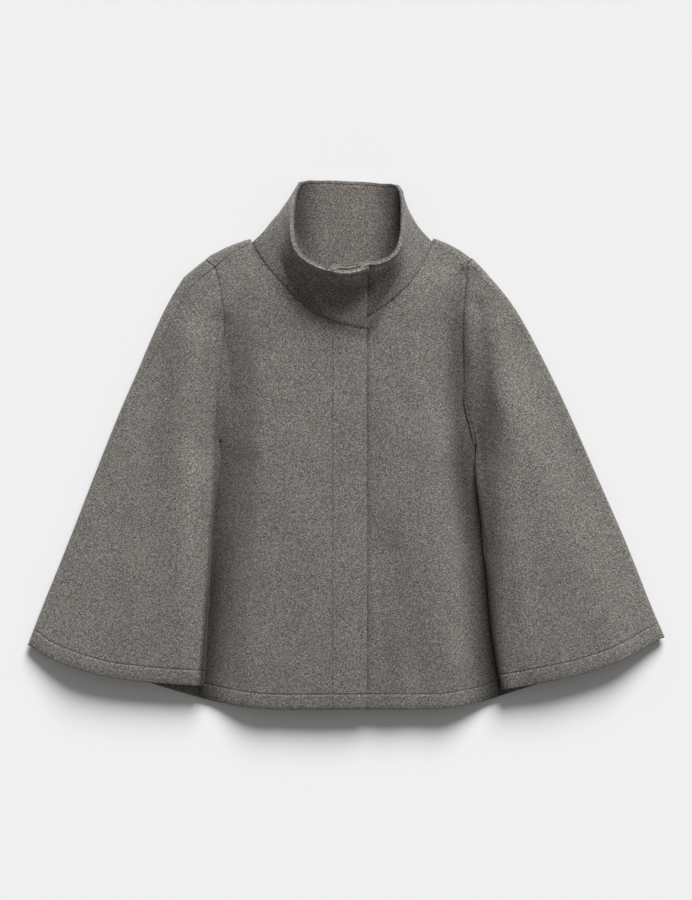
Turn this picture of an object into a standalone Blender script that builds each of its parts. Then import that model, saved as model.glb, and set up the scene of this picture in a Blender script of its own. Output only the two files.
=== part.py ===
"""A short wool cape coat, laid flat on its back: loose fronts with a fly placket, wide cape
sleeves, and a funnel collar whose back lies down while its front stands open.

Metres, +Z up. X runs across the coat, towards the wearer's left sleeve. Y runs from the hem up
to the collar. The back lies on z = 0. Every panel is one sheet of cloth: a grid of points on the
middle of the cloth, thickened to both sides. Panels that share a seam share its points.
"""

import math

import bmesh
import bpy
import numpy as np
from mathutils import Vector

MM = 0.001

# The cloth
WALL = 2.2 * MM
SEAM_GAP = 0.8 * MM
REST = WALL / 2  # height of the middle of a sheet that lies on the surface
LAYER = WALL + 1.0 * MM  # from the collar to its facing

# The body
PLACKET_EDGE_X = 27.5 * MM  # the edge of the upper front
PLACKET_DROP = 6.4 * MM  # the lower front lies this far under the upper one

# Heights of the middle of the upper cloth
FOLD_TOP = 13 * MM  # beside the fold at the outline
FOLD_REACH = 6 * MM  # width of that fold's round
CROTCH_TOP = 11.5 * MM  # upper cloth where sleeve and side part
SIDE_TOP = 6.3 * MM  # side of the body, under the sleeve
LAP_BOTTOM = 9.6 * MM  # lower cloth of the sleeve where it lies on the side
SLEEVE_FOLD_TOP = 25.5 * MM  # upper cloth beside the sleeve's inner fold
LAP_RUN = 21 * MM  # below the crotch, where the sleeve has climbed on the side
CROTCH_RADIUS = 2.8 * MM
CLIMB_REACH = 42 * MM  # beside the body's side, where the sleeve's lower cloth comes down
OUTER_RISE = 75 * MM  # from the outline to the full height
BODY_RISE = 64 * MM  # from the valley beside the sleeve to the full height
SLEEVE_RISE = 42 * MM
VALLEY_FLAT = 8 * MM  # bottom of that valley, on the body

# Plan of one side, in mm from the centre line and up from the hem. OUTLINE is the fold from the
# neck over the shoulder to the sleeve's corner, OVERARM the shoulder seam and the seam that
# carries it on down the sleeve.
PLAN = {
    "right": {
        "sign": -1,
        "outline": [(123, 606), (157, 595), (182, 579), (201, 564), (214, 548), (232, 517),
                    (259, 455), (286, 394), (323, 301), (359, 208), (391, 130), (409, 82)],
        "shoulder": [(121, 600), (136, 594), (157, 578), (168, 569)],
        "overarm": [(168, 569), (181, 560), (200, 543), (216, 515), (233, 482), (261, 427),
                    (281, 395), (320, 301), (356, 208), (388, 130), (406, 82)],
        "armhole": [(168, 569), (164, 557), (157, 516), (157, 476), (161, 437), (165, 386), (166, 347)],
        "armhole_back": [(180, 579), (170, 540), (150, 480), (148, 420), (166, 347)],
        "underarm": [(168, 307), (171, 270), (174, 192), (178, 115), (183, 30)],
        "side": [(170, 307), (184, 270), (204, 200), (227, 117), (250, 33)],
        "hem": [(0, 0), (97, 0), (149, 6), (181, 13), (214, 22), (250, 33)],
        "sleeve_hem": [(406, 82), (381, 66), (317, 44), (252, 35), (183, 30)],
    },
    "left": {
        "sign": 1,
        "outline": [(114, 607), (143, 595), (163, 579), (179, 564), (194, 548), (219, 517),
                    (252, 455), (282, 394), (323, 301), (364, 208), (394, 130), (411, 92)],
        "shoulder": [(113, 600), (128, 596), (148, 584), (158, 575)],
        "overarm": [(158, 575), (180, 555), (199, 533), (218, 504), (237, 470), (257, 437),
                    (278, 394), (320, 301), (361, 208), (391, 130), (408, 92)],
        "armhole": [(158, 575), (155, 547), (151, 489), (154, 406), (158, 384), (166, 353), (169, 340)],
        "armhole_back": [(163, 581), (158, 540), (146, 480), (148, 420), (169, 340)],
        "underarm": [(171, 300), (175, 250), (178, 218), (184, 153), (190, 89), (202, 25)],
        "side": [(173, 300), (186, 260), (207, 190), (228, 112), (248, 32)],
        "hem": [(0, 0), (97, 0), (128, 1), (173, 9), (199, 17), (248, 32)],
        "sleeve_hem": [(408, 92), (354, 63), (302, 45), (251, 34), (202, 25)],
    },
}
NECK = {  # from the front edge to the shoulder seam
    "right": [(-27.5, 487), (0, 493), (20, 499), (46, 512), (78, 542), (108, 577), (121, 600)],
    "left": [(-16.5, 497), (4, 498), (26, 503), (51, 518), (83, 547), (103, 577), (113, 600)],
}
BACK_NECK = [  # x, y, z
    (-121, 600, 12.5), (-113, 592, 10), (-92, 578, 4.5), (-55, 566, 1.1), (0, 563, 1.1),
    (55, 566, 1.1), (85, 578, 4.5), (105, 592, 10), (113, 600, 12.5)]

# Height of the upper cloth along the coat, in mm: y, middle of the front, sleeve's crest,
# valley along the armhole
HEIGHTS = [
    (0, 25, 25, 11.5),
    (60, 32, 29, 11.5),
    (180, 39, 34, 11.5),
    (340, 42, 35, 11.5),
    (400, 42, 34, 12.5),
    (460, 40, 32, 16),
    (520, 37, 29, 21),
    (620, 33, 27, 26),
]

# Soft folds of the upper cloth: side, piece, height in mm, half width in mm, path
SOFT_FOLDS = [
    ("left", "body", -8, 18, [(150, 540), (145, 489), (150, 400), (157, 300), (167, 218)]),
    ("left", "sleeve", -8, 16, [(179, 527), (184, 463), (180, 398), (177, 320), (180, 250)]),
    ("left", "body", -5, 24, [(52, 223), (66, 150), (82, 70), (92, 20)]),
    ("left", "sleeve", 3, 30, [(225, 400), (240, 300), (255, 180), (262, 60)]),
    ("right", "body", 2.5, 35, [(58, 330), (40, 240), (30, 115), (24, 10)]),
    ("right", "body", -6, 18, [(150, 500), (148, 430), (150, 340), (158, 250)]),
    ("right", "sleeve", -5, 17, [(219, 520), (228, 440), (232, 330), (228, 270)]),
    ("right", "sleeve", 2.5, 22, [(190, 480), (192, 380), (196, 250), (200, 100)]),
]

# The collar, round from the end of the upper front by the wearer's right side and the back to
# the end of the lower front, in mm: neck x, y and how far its seam lies under the upper cloth
# (negative, the seam's own height, on the back), rim x, y, z, how much the band sags towards its
# seam, and how far it is drawn in at half height
COLLAR = [
    (27.5, 487, 0, 29, 571, 88, 0.36, 0),
    (0, 493, 0, 6, 564, 89, 0.36, 0),
    (-20, 499, 0, -18, 566, 87, 0.36, 0),
    (-46, 512, 0, -44, 576, 81, 0.33, 2),
    (-78, 542, 0, -62, 593, 72, 0.28, 5),
    (-108, 577, 0, -69, 622, 55, 0.20, 6),
    (-121, 600, 0, -67, 655, 30, 0.08, 4),
    (-113, 592, -10, -59, 680, 8.0, 0, 2),
    (-92, 578, -4.5, -33, 682, 1.1, 0, 2),
    (-55, 566, -1.1, -14, 682, 1.1, 0, 0),
    (0, 563, -1.1, 5, 681, 1.1, 0, 0),
    (55, 566, -1.1, 28, 680, 1.1, 0, 0),
    (85, 578, -4.5, 47, 678, 1.1, 0, 5),
    (105, 592, -10, 68, 676, 8.0, 0, 10),
    (113, 600, 0, 75, 656, 30, 0.08, 12),
    (103, 577, 0, 73, 616, 57, 0.20, 9),
    (83, 547, 0, 63, 588, 73, 0.28, 5),
    (51, 518, 0, 41, 575, 81, 0.33, 2),
    (26, 503, 6, 24, 577, 82, 0.36, 0),
    (-16.5, 497, 6.4, -21, 574, 81, 0.36, 0),
]
COLLAR_START = 0.018  # where the band leaves its seam, as a share of its height
FACING_START = 0.14

# How finely the sheets are cut
ROUND = [0.0, 0.14, 0.5, 1.0]  # points over the reach of a round fold
ARM_SPANS = 12  # along an armhole, between its finer ends
SIDE_SPANS = 8
SLEEVE_SPANS = 9
NECK_SPANS = 11
SHOULDER_SPANS = 2
BACK_NECK_SPANS = 12
WRAP_SPANS = 3
COLLAR_ROWS = 7
COLLAR_STEPS = 2

CLOTH_COLOUR = (0.17, 0.165, 0.155, 1.0)


def spline(points, scale=MM):
    """A smooth curve through plan points, sampled closely."""
    p = np.array(points, float) * scale
    ends = [2 * p[0] - p[1]], [2 * p[-1] - p[-2]]
    q = np.vstack([ends[0], p, ends[1]])
    out = []
    for i in range(1, len(q) - 2):
        a, b, c, d = q[i - 1:i + 3]
        for t in np.linspace(0, 1, 12, endpoint=False):
            out.append(b + 0.5 * t * (c - a + t * (2 * a - 5 * b + 4 * c - d + t * (3 * (b - c) + d - a))))
    return np.vstack([out, p[-1:]])


def lengths(line):
    return np.concatenate([[0.0], np.cumsum(np.linalg.norm(np.diff(line, axis=0), axis=1))])


def at(line, distances):
    """Points of a close polyline at distances along it."""
    along = lengths(line)
    return np.stack([np.interp(distances, along, line[:, k]) for k in range(line.shape[1])], axis=1)


def resample(line, fractions):
    return at(line, np.asarray(fractions) * lengths(line)[-1])


def nearest(line, points):
    """Distance of each point to a polyline, and how far along the polyline it is nearest."""
    a, b = line[:-1], line[1:]
    ab = b - a
    t = np.einsum("nsk,sk->ns", points[:, None] - a[None], ab) / np.maximum((ab ** 2).sum(1), 1e-18)
    t = np.clip(t, 0, 1)
    gap = np.linalg.norm(points[:, None] - (a + t[..., None] * ab), axis=2)
    best = gap.argmin(1)
    rows = np.arange(len(points))
    along = lengths(line)[best] + t[rows, best] * np.linalg.norm(ab[best], axis=1)
    return gap[rows, best], along


def ease(t):
    t = np.clip(t, 0, 1)
    return t * t * (3 - 2 * t)


def quarter_round(t):
    """Height over a round fold, from 0 at the fold's edge to 1 at its full reach."""
    t = np.clip(t, 0, 1)
    return np.sqrt(np.maximum(0, 1 - (1 - t) ** 2))


class Side:
    """One side of the coat: its plan curves, outward x first, and its height functions."""

    def __init__(self, name):
        plan = PLAN[name]
        self.name = name
        self.sign = plan["sign"]
        self.outline = spline(plan["outline"])
        self.shoulder = spline(plan["shoulder"])
        self.overarm = spline(plan["overarm"])
        self.armhole = spline(plan["armhole"])
        self.armhole_back = spline(plan["armhole_back"])
        self.hem = spline(plan["hem"])
        self.sleeve_hem = spline(plan["sleeve_hem"])
        self.neck = spline(NECK[name])
        self.crotch = self.armhole[-1]
        self.underarm = self.from_crotch(plan["underarm"], 1)
        self.side = self.from_crotch(plan["side"], -1)
        self.folds = [row for row in SOFT_FOLDS if row[0] == name]

    def from_crotch(self, points, way):
        """A seam that leaves the crotch sideways, round a small arch, then runs down its points."""
        x, y = self.crotch
        turn = np.radians(np.linspace(0, 90, 7))
        arch = np.stack([x + way * CROTCH_RADIUS * np.sin(turn),
                         y - CROTCH_RADIUS * (1 - np.cos(turn))], axis=1)
        below = [(x + way * 1.06 * CROTCH_RADIUS, y - 12 * MM), (x + way * 0.75 * CROTCH_RADIUS, y - 24 * MM)]
        run = spline(np.vstack([arch[-1:], below, np.array(points) * MM]), 1)
        return np.vstack([arch[:-1], run])

    def heights(self, y, column):
        table = np.array(HEIGHTS, float) * MM
        return np.interp(y, table[:, 0], table[:, column])

    def below_crotch(self, y):
        return np.maximum(0, self.crotch[1] - y)

    def valley(self, y):
        """Upper cloth along the armhole."""
        return self.heights(y, 3)

    def side_top(self, y):
        """Upper cloth at the body's side."""
        return CROTCH_TOP + (SIDE_TOP - CROTCH_TOP) * ease(self.below_crotch(y) / LAP_RUN)

    def lap_bottom(self, y):
        """Lower cloth of the sleeve, where it lies on the side."""
        return REST + (LAP_BOTTOM - REST) * ease(self.below_crotch(y) / LAP_RUN)

    def fold_top(self, y):
        """Upper cloth beside the sleeve's inner fold."""
        return CROTCH_TOP + (SLEEVE_FOLD_TOP - CROTCH_TOP) * ease(self.below_crotch(y) / (60 * MM))

    def inner_edge(self, y):
        """Outward x of the armhole, and of the sleeve's inner fold below it."""
        line = np.vstack([self.armhole, self.underarm])[::-1]
        return np.interp(y, line[:, 1], line[:, 0])

    def side_edge(self, y):
        line = self.side[::-1]
        return np.interp(y, line[:, 1], line[:, 0])

    def soft_folds(self, piece, points):
        total = np.zeros(len(points))
        for _, where, height, width, path in self.folds:
            if where == piece:
                gap, _ = nearest(spline(path), points)
                total += height * MM * np.exp(-((gap / (width * MM)) ** 2))
        return total

    def round_off(self, z, line, points, seam_height):
        """Lets a sheet end in a quarter round down, or up, to a seam's height."""
        gap, along = nearest(line, points)
        height = seam_height(at(line, along)[:, 1])
        return height + (z - height) * quarter_round(gap / FOLD_REACH)

    def outer(self, points, inside):
        """The upper cloth, falling from its full height to the fold at the outline."""
        gap, _ = nearest(self.outline, points)
        z = FOLD_TOP + (inside - FOLD_TOP) * ease(gap / OUTER_RISE)
        middle = (FOLD_TOP + REST) / 2
        return middle + (z - middle) * quarter_round(gap / FOLD_REACH)

    def body_top(self, points):
        x, y = points[:, 0], points[:, 1]
        valley = np.where(y > self.crotch[1], self.valley(y), self.side_top(y))
        full = self.heights(y, 1) + self.soft_folds("body", points)
        inside = self.inner_edge(y) - x
        z = valley + (full - valley) * ease((inside - VALLEY_FLAT) / BODY_RISE)
        z = self.outer(points, z)
        return self.round_off(z, self.side, points, self.side_seam)

    def body_bottom(self, points):
        z = np.full(len(points), REST)
        z = self.bottom_round(z, points)
        return self.round_off(z, self.side, points, self.side_seam)

    def bottom_round(self, z, points):
        gap, _ = nearest(self.outline, points)
        middle = (FOLD_TOP + REST) / 2
        return middle + (z - middle) * quarter_round(gap / FOLD_REACH)

    def sleeve_top(self, points):
        x, y = points[:, 0], points[:, 1]
        low = np.where(y > self.crotch[1], self.valley(y), self.fold_top(y))
        full = self.heights(y, 2) + self.soft_folds("sleeve", points)
        inside = x - self.inner_edge(y)
        z = low + (full - low) * ease(inside / SLEEVE_RISE)
        z = self.outer(points, z)
        return self.round_off(z, self.underarm, points, self.underarm_seam)

    def sleeve_bottom(self, points):
        x, y = points[:, 0], points[:, 1]
        out = x - self.side_edge(y)
        climb = 1 - ease((out - 12 * MM) / CLIMB_REACH)
        z = REST + (self.lap_bottom(y) - REST) * climb
        z = self.bottom_round(z, points)
        return self.round_off(z, self.underarm, points, self.underarm_seam)

    def side_seam(self, y):
        return (REST + self.side_top(y)) / 2

    def underarm_seam(self, y):
        return (self.lap_bottom(y) + self.fold_top(y)) / 2

    def world(self, plan, z):
        return np.column_stack([self.sign * plan[:, 0], plan[:, 1], z])


def spread(length, fine_start, fine_end, spans):
    """Distances along a length, with given ones at each end and even ones between."""
    start, end = np.array(fine_start), length - np.array(fine_end)[::-1]
    middle = np.linspace(start[-1], end[0], spans + 1)[1:-1]
    return np.concatenate([start, middle, end])


def patch(first, last, low, high, fractions):
    """A plan grid between four edges: rows run from first to last, low is row 0 and high the
    last row. fractions gives, for each row, how far along it each point is."""
    rows = len(first)
    grid = np.empty((rows, fractions.shape[1], 2))
    bend_low = low - (first[0] + (last[0] - first[0]) * fractions[0][:, None])
    bend_high = high - (first[-1] + (last[-1] - first[-1]) * fractions[-1][:, None])
    for i in range(rows):
        t = i / (rows - 1)
        straight = first[i] + (last[i] - first[i]) * fractions[i][:, None]
        grid[i] = straight + (1 - t) * bend_low + t * bend_high
    grid[:, 0], grid[:, -1] = first, last
    return grid


def heights_on(grid, function):
    flat = grid.reshape(-1, 2)
    return function(flat).reshape(grid.shape[:2])


ROUND_STEPS = [t * FOLD_REACH for t in ROUND]
EDGE_STEPS = [0.0, 3.5 * MM, 10 * MM]


def arm_distances(line):
    """From the shoulder end down to the crotch."""
    return spread(lengths(line)[-1], EDGE_STEPS, ROUND_STEPS, ARM_SPANS)


def crotch_distances(line, spans):
    """From the crotch down a seam, finer round the arch."""
    arch = math.pi / 2 * CROTCH_RADIUS
    total = lengths(line)[-1]
    return np.concatenate([[0, arch / 3, arch * 2 / 3], arch + (total - arch) * np.linspace(0, 1, spans + 1) ** 1.25])


def body_edge(side, arm):
    """The body's outer edge in plan, from the hem up its side and its armhole."""
    down = at(side.side, crotch_distances(side.side, SIDE_SPANS))
    up = at(arm, arm_distances(arm))[::-1]
    return np.vstack([down[::-1], up[1:]])


def fold_fractions(rows, length_of, shares, fine=ROUND_STEPS):
    """Row by row, how far along each point is: even shares, then the fine steps at the end."""
    out = []
    for i in range(rows):
        length = length_of(i)
        end = 1 - np.array(fine)[::-1] / length
        out.append(np.concatenate([shares * end[0], end[1:]]))
    return np.array(out)


def front(side):
    """One front, from its front edge to its side and armhole, hem first."""
    outer = body_edge(side, side.armhole)
    rows = len(outer)
    neck_share = np.linspace(0, 1, NECK_SPANS + 1)
    neck = resample(side.neck, neck_share)
    shoulder_length = lengths(side.shoulder)[-1]
    shoulder_at = spread(shoulder_length, [0.0], ROUND_STEPS, SHOULDER_SPANS)
    high = np.vstack([neck, at(side.shoulder, shoulder_at)[1:]])
    first_x = side.neck[0][0]
    low_start = np.array([first_x, 0.0])
    inner = np.column_stack([np.full(rows, first_x), np.linspace(0, side.neck[0][1], rows)])
    fractions = (high[:, 0] - first_x) / (high[-1, 0] - first_x)
    fractions = np.maximum.accumulate(fractions)
    shares = fractions[:-3] / fractions[-4]
    rows_at = fold_fractions(rows, lambda i: np.linalg.norm(outer[i] - inner[i]), shares)
    rows_at[-1] = fractions
    hem = np.vstack([low_start, side.hem[side.hem[:, 0] > first_x]])
    low = resample(hem, rows_at[0])
    grid = patch(inner, outer, low, high, rows_at)
    z = heights_on(grid, side.body_top)
    return grid, z


def build_front(side):
    grid, z = front(side)
    if side.name == "left":
        under = PLACKET_EDGE_X + 12 * MM - grid[..., 0]
        z = z - PLACKET_DROP * ease(under / (14 * MM))
    arm_rows = ARM_SPANS + len(EDGE_STEPS) + len(ROUND_STEPS) - 2
    z[-arm_rows - 1:, -1] = arm_seam(side)[::-1][:, 2]
    return np.dstack([side.sign * grid[..., 0], grid[..., 1], z])


def arm_seam(side):
    """The front armhole in space, from the shoulder down to the crotch."""
    plan = at(side.armhole, arm_distances(side.armhole))
    z = side.body_top(plan)
    z[-1] = side.side_seam(side.crotch[1:2])[0]
    return side.world(plan, z)


def back_arm_seam(side):
    """The back armhole: from the fold at the outline down the back to the crotch."""
    plan = at(side.armhole_back, arm_distances(side.armhole_back))
    z = side.body_bottom(plan)
    z[-1] = side.side_seam(side.crotch[1:2])[0]
    return side.world(plan, z)


def wrap(side, fold, seam):
    """Rows of the sleeve from the fold at the outline, over it, to the overarm seam."""
    rows = []
    for k in range(1, WRAP_SPANS + 1):
        share = 1 - math.cos(math.pi / 2 * k / WRAP_SPANS)
        plan = fold + (seam - fold) * share
        z = side.sleeve_top(plan)
        z[0] = side.body_top(plan[:1])[0]
        rows.append((plan, z))
    return rows


def build_sleeve_front(side):
    """From the armhole to the hem, each row from the overarm seam to the underarm seam."""
    under = at(side.underarm, crotch_distances(side.underarm, SLEEVE_SPANS))
    rows = len(under)
    over = resample(side.overarm, np.linspace(0, 1, rows) ** 1.1)
    arm = at(side.armhole, arm_distances(side.armhole))
    counts = arm_distances(side.armhole) / lengths(side.armhole)[-1]
    fractions = np.array([
        spread(np.linalg.norm(under[i] - over[i]), EDGE_STEPS, ROUND_STEPS, ARM_SPANS)
        / np.linalg.norm(under[i] - over[i]) for i in range(rows)])
    fractions[0] = counts
    hem = resample(side.sleeve_hem, fractions[-1])
    grid = patch(over, under, arm, hem, fractions)
    z = heights_on(grid, side.sleeve_top)
    cloth = np.dstack([side.sign * grid[..., 0], grid[..., 1], z])
    cloth[0] = arm_seam(side)
    return cloth


def nearest_outline(side, points):
    _, along = nearest(side.outline, points)
    return at(side.outline, along)


def build_sleeve_back(side):
    """From the armhole to the hem: the underside, then over the fold to the overarm seam."""
    under = at(side.underarm, crotch_distances(side.underarm, SLEEVE_SPANS))
    rows = len(under)
    over = resample(side.overarm, np.linspace(0, 1, rows) ** 1.1)
    fold = nearest_outline(side, over)
    fold[0] = side.armhole_back[0]
    fold[-1] = side.outline[-1]
    arm = at(side.armhole_back, arm_distances(side.armhole_back))
    fractions = np.array([
        spread(np.linalg.norm(under[i] - fold[i]), EDGE_STEPS, ROUND_STEPS, ARM_SPANS)
        / np.linalg.norm(under[i] - fold[i]) for i in range(rows)])
    fractions[0] = arm_distances(side.armhole_back) / lengths(side.armhole_back)[-1]
    hem = resample(side.sleeve_hem, fractions[-1])
    hem[0] = fold[-1]
    grid = patch(fold, under, arm, hem, fractions)
    z = heights_on(grid, side.sleeve_bottom)
    lower = np.dstack([side.sign * grid[..., 0], grid[..., 1], z])
    lower[0] = back_arm_seam(side)
    upper = [side.world(plan, height) for plan, height in wrap(side, fold, over)]
    return np.concatenate([np.array(upper)[::-1].transpose(1, 0, 2), lower], axis=1)


def back_fold_line(side):
    """Plan of the back's top fold over one shoulder, from the armhole to the neck."""
    shoulder_length = lengths(side.shoulder)[-1]
    seam = at(side.shoulder, spread(shoulder_length, [0.0], ROUND_STEPS, SHOULDER_SPANS))[::-1]
    fold = nearest_outline(side, seam)
    fold[0] = side.armhole_back[0]
    fold[-1] = side.outline[0]
    return fold, seam


def build_back(right, left):
    """The back: hem to the top fold, then over it to the shoulder seams and the neck."""
    edges = {s.name: body_edge(s, s.armhole_back) for s in (right, left)}
    rows = len(edges["right"])
    first = edges["right"] * [-1, 1]
    last = edges["left"]
    fold_r, seam_r = back_fold_line(right)
    fold_l, seam_l = back_fold_line(left)
    neck_seam = resample(spline(BACK_NECK), np.linspace(0, 1, BACK_NECK_SPANS + 1))
    neck = neck_seam[:, :2]
    inside = neck.copy()
    inside[:, 1] -= 8 * MM
    inside[0] = fold_r[-1] * [-1, 1]
    inside[-1] = fold_l[-1]
    top = np.vstack([fold_r * [-1, 1], inside[1:-1], fold_l[::-1]])
    seam = np.vstack([seam_r * [-1, 1], neck[1:-1], seam_l[::-1]])
    share = (top[:, 0] - top[0, 0]) / (top[-1, 0] - top[0, 0])
    fine = len(ROUND_STEPS)
    middle = share[fine - 1:1 - fine]
    middle = (middle - middle[0]) / (middle[-1] - middle[0])
    table = []
    for i in range(rows):
        length = np.linalg.norm(last[i] - first[i])
        start = np.array(ROUND_STEPS) / length
        table.append(np.concatenate([start[:-1], start[-1] + middle * (1 - 2 * start[-1]), 1 - start[-2::-1]]))
    table = np.array(table)
    table[-1] = share
    hem = np.vstack([(right.hem * [-1, 1])[::-1], left.hem[1:]])
    grid = patch(first, last, resample(hem, table[0]), top, table)
    z = np.where(grid[..., 0] < 0,
                 heights_on(grid * [-1, 1], right.body_bottom), heights_on(grid, left.body_bottom))
    cloth = [np.dstack([grid[..., 0], grid[..., 1], z])]
    arm_rows = len(arm_distances(right.armhole_back))
    cloth[0][-arm_rows:, 0] = back_arm_seam(right)[::-1]
    cloth[0][-arm_rows:, -1] = back_arm_seam(left)[::-1]
    upper = []
    for k in range(1, WRAP_SPANS + 1):
        part = 1 - math.cos(math.pi / 2 * k / WRAP_SPANS)
        plan = top + (seam - top) * part
        z = wrap_height(right, left, plan, cloth[0][-1, :, 2], neck_seam[:, 2], part)
        upper.append(np.column_stack([plan, z]))
    return np.concatenate([cloth[0], np.array(upper)])


def wrap_height(right, left, plan, start, neck, part):
    """Height over the back's top fold: the upper cloth at the shoulders, the seam at the neck."""
    corner = SHOULDER_SPANS + len(ROUND_STEPS) - 1
    over_right = right.body_top(plan[:corner + 1] * [-1, 1])
    over_left = left.body_top(plan[-corner - 1:])
    inner = slice(corner + 1, -corner - 1)
    behind = start[inner] + (neck[1:-1] - start[inner]) * part
    return np.concatenate([over_right, behind, over_left])


def collar_stations():
    """The collar's table as smooth columns: neck point, rim point and the control between."""
    sides = {-1: Side("right"), 1: Side("left")}
    rows = []
    for x, y, drop, rim_x, rim_y, rim_z, sag, drawn in COLLAR:
        upper_front = drop == 0 and x < PLACKET_EDGE_X / MM + 1
        side = sides[-1 if upper_front else 1]
        if drop < 0:
            z = -drop
        else:
            z = side.body_top(np.array([[side.sign * x * MM, y * MM]]))[0] / MM - drop
        neck, rim = np.array([x, y, z]), np.array([rim_x, rim_y, rim_z])
        control = neck + (rim - neck) * [0.5 + sag, 0.5 + sag, 0.5 - sag]
        control[0] -= math.copysign(drawn, x)
        rows.append(np.concatenate([neck, control, rim]))
    return np.array(rows)


def collar_grid(start):
    rows = collar_stations()
    q = np.vstack([2 * rows[0] - rows[1], rows, 2 * rows[-1] - rows[-2]]) * MM
    columns = []
    for i in range(1, len(q) - 2):
        a, b, c, d = q[i - 1:i + 3]
        for t in np.linspace(0, 1, COLLAR_STEPS, endpoint=False):
            columns.append(b + 0.5 * t * (c - a + t * (2 * a - 5 * b + 4 * c - d + t * (3 * (b - c) + d - a))))
    columns = np.vstack([columns, q[-2:-1]])
    s = np.linspace(start, 1, COLLAR_ROWS)[:, None, None]
    neck, control, rim = columns[:, :3], columns[:, 3:6], columns[:, 6:]
    grid = (1 - s) ** 2 * neck + 2 * s * (1 - s) * control + s * s * rim
    grid[..., 2] = np.maximum(grid[..., 2], REST)
    return grid


def normals(grid):
    across, along = np.gradient(grid, axis=1), np.gradient(grid, axis=0)
    n = np.cross(across, along)
    size = np.linalg.norm(n, axis=2, keepdims=True)
    return n / np.maximum(size, 1e-15)


def make_material(name, colour, roughness):
    material = bpy.data.materials.new(name)
    material.use_nodes = True
    shader = material.node_tree.nodes["Principled BSDF"]
    shader.inputs["Base Color"].default_value = colour
    shader.inputs["Roughness"].default_value = roughness
    shader.inputs["Metallic"].default_value = 0.0
    return material


def inset_edges(grid):
    """Draws each edge of a sheet in by half the seam gap."""
    out = grid.copy()
    pairs = (((0, slice(None)), (1, slice(None))), ((-1, slice(None)), (-2, slice(None))),
             ((slice(None), 0), (slice(None), 1)), ((slice(None), -1), (slice(None), -2)))
    for edge, inner in pairs:
        way = grid[inner] - grid[edge]
        size = np.linalg.norm(way, axis=1, keepdims=True)
        out[edge] += way / np.maximum(size, 1e-12) * np.minimum(SEAM_GAP / 2, size * 0.4)
    return out


def add_sheet(name, grid, normal, offset=0.0):
    """One panel as a closed solid: the grid offset to both sides and joined round its rim."""
    middle = inset_edges(grid) + normal * offset
    faces = [middle + normal * WALL / 2, middle - normal * WALL / 2]
    for face in faces:
        face[..., 2] = np.maximum(face[..., 2], 0)
    bm = bmesh.new()
    rows, columns = grid.shape[:2]
    turn = np.cross(grid[1:, :-1] - grid[:-1, :-1], grid[:-1, 1:] - grid[:-1, :-1])
    if (turn * normal[:-1, :-1]).sum() > 0:
        faces = faces[::-1]
    rings = [[[bm.verts.new(p) for p in row] for row in face] for face in faces]
    for face, flip in zip(rings, (False, True)):
        for i in range(rows - 1):
            for j in range(columns - 1):
                quad = [face[i][j], face[i][j + 1], face[i + 1][j + 1], face[i + 1][j]]
                bm.faces.new(quad[::-1] if flip else quad)
    border = [(0, j) for j in range(columns)] + [(i, columns - 1) for i in range(1, rows)]
    border += [(rows - 1, j) for j in range(columns - 2, -1, -1)] + [(i, 0) for i in range(rows - 2, 0, -1)]
    for (i, j), (k, m) in zip(border, border[1:] + border[:1]):
        bm.faces.new([rings[0][k][m], rings[0][i][j], rings[1][i][j], rings[1][k][m]])
    mesh = bpy.data.meshes.new(name)
    bm.to_mesh(mesh)
    bm.free()
    sheet = bpy.data.objects.new(name, mesh)
    bpy.context.scene.collection.objects.link(sheet)
    mesh.materials.append(make_material(f"{name}_wool", CLOTH_COLOUR, 0.95))
    mesh.shade_smooth()
    return sheet


def share_normals(grids, ways):
    """Averages the normals of sheets that meet at a seam, so their edges mitre."""
    total = {}
    for name, grid in grids.items():
        for key, n in zip(seam_keys(grid), ways[name].reshape(-1, 3)):
            total.setdefault(key, []).append(n)
    for name, grid in grids.items():
        flat = ways[name].reshape(-1, 3)
        for i, key in enumerate(seam_keys(grid)):
            mean = np.sum(total[key], axis=0)
            flat[i] = mean / np.linalg.norm(mean)


def seam_keys(grid):
    return [tuple(k) for k in np.round(grid.reshape(-1, 3) / (0.02 * MM)).astype(int)]


def centre_on_base(sheets):
    """Puts the origin under the middle of the coat, on the surface it lies on."""
    points = np.array([v.co for sheet in sheets for v in sheet.data.vertices])
    low, high = points.min(0), points.max(0)
    middle = Vector(((low[0] + high[0]) / 2, (low[1] + high[1]) / 2, low[2]))
    for sheet in sheets:
        for v in sheet.data.vertices:
            v.co -= middle


def main():
    for old in list(bpy.data.objects):
        bpy.data.objects.remove(old)
    right, left = Side("right"), Side("left")
    grids = {
        "back": build_back(right, left),
        "front_right": build_front(right),
        "front_left": build_front(left),
        "sleeve_front_right": build_sleeve_front(right),
        "sleeve_back_right": build_sleeve_back(right),
        "sleeve_front_left": build_sleeve_front(left),
        "sleeve_back_left": build_sleeve_back(left),
    }
    ways = {name: normals(grid) for name, grid in grids.items()}
    up = {"back": -1, "sleeve_back_right": -1, "sleeve_back_left": -1}
    for name, grid in grids.items():
        middle = tuple(s // 2 for s in grid.shape[:2])
        if ways[name][middle][2] * up.get(name, 1) < 0:
            ways[name] *= -1
    share_normals(grids, ways)
    sheets = [add_sheet(name, grid, ways[name]) for name, grid in grids.items()]
    for name, start, offset in (("collar", COLLAR_START, 0.0), ("collar_facing", FACING_START, -LAYER)):
        band = collar_grid(start)
        way = normals(band)
        if way[COLLAR_ROWS // 2, 2][2] < 0:
            way *= -1
        for _ in range(2):
            way[:, 1:-1] = way[:, :-2] + 2 * way[:, 1:-1] + way[:, 2:]
            way /= np.linalg.norm(way, axis=2, keepdims=True)
        sheets.append(add_sheet(name, band, way, offset))
    centre_on_base(sheets)


main()
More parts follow.
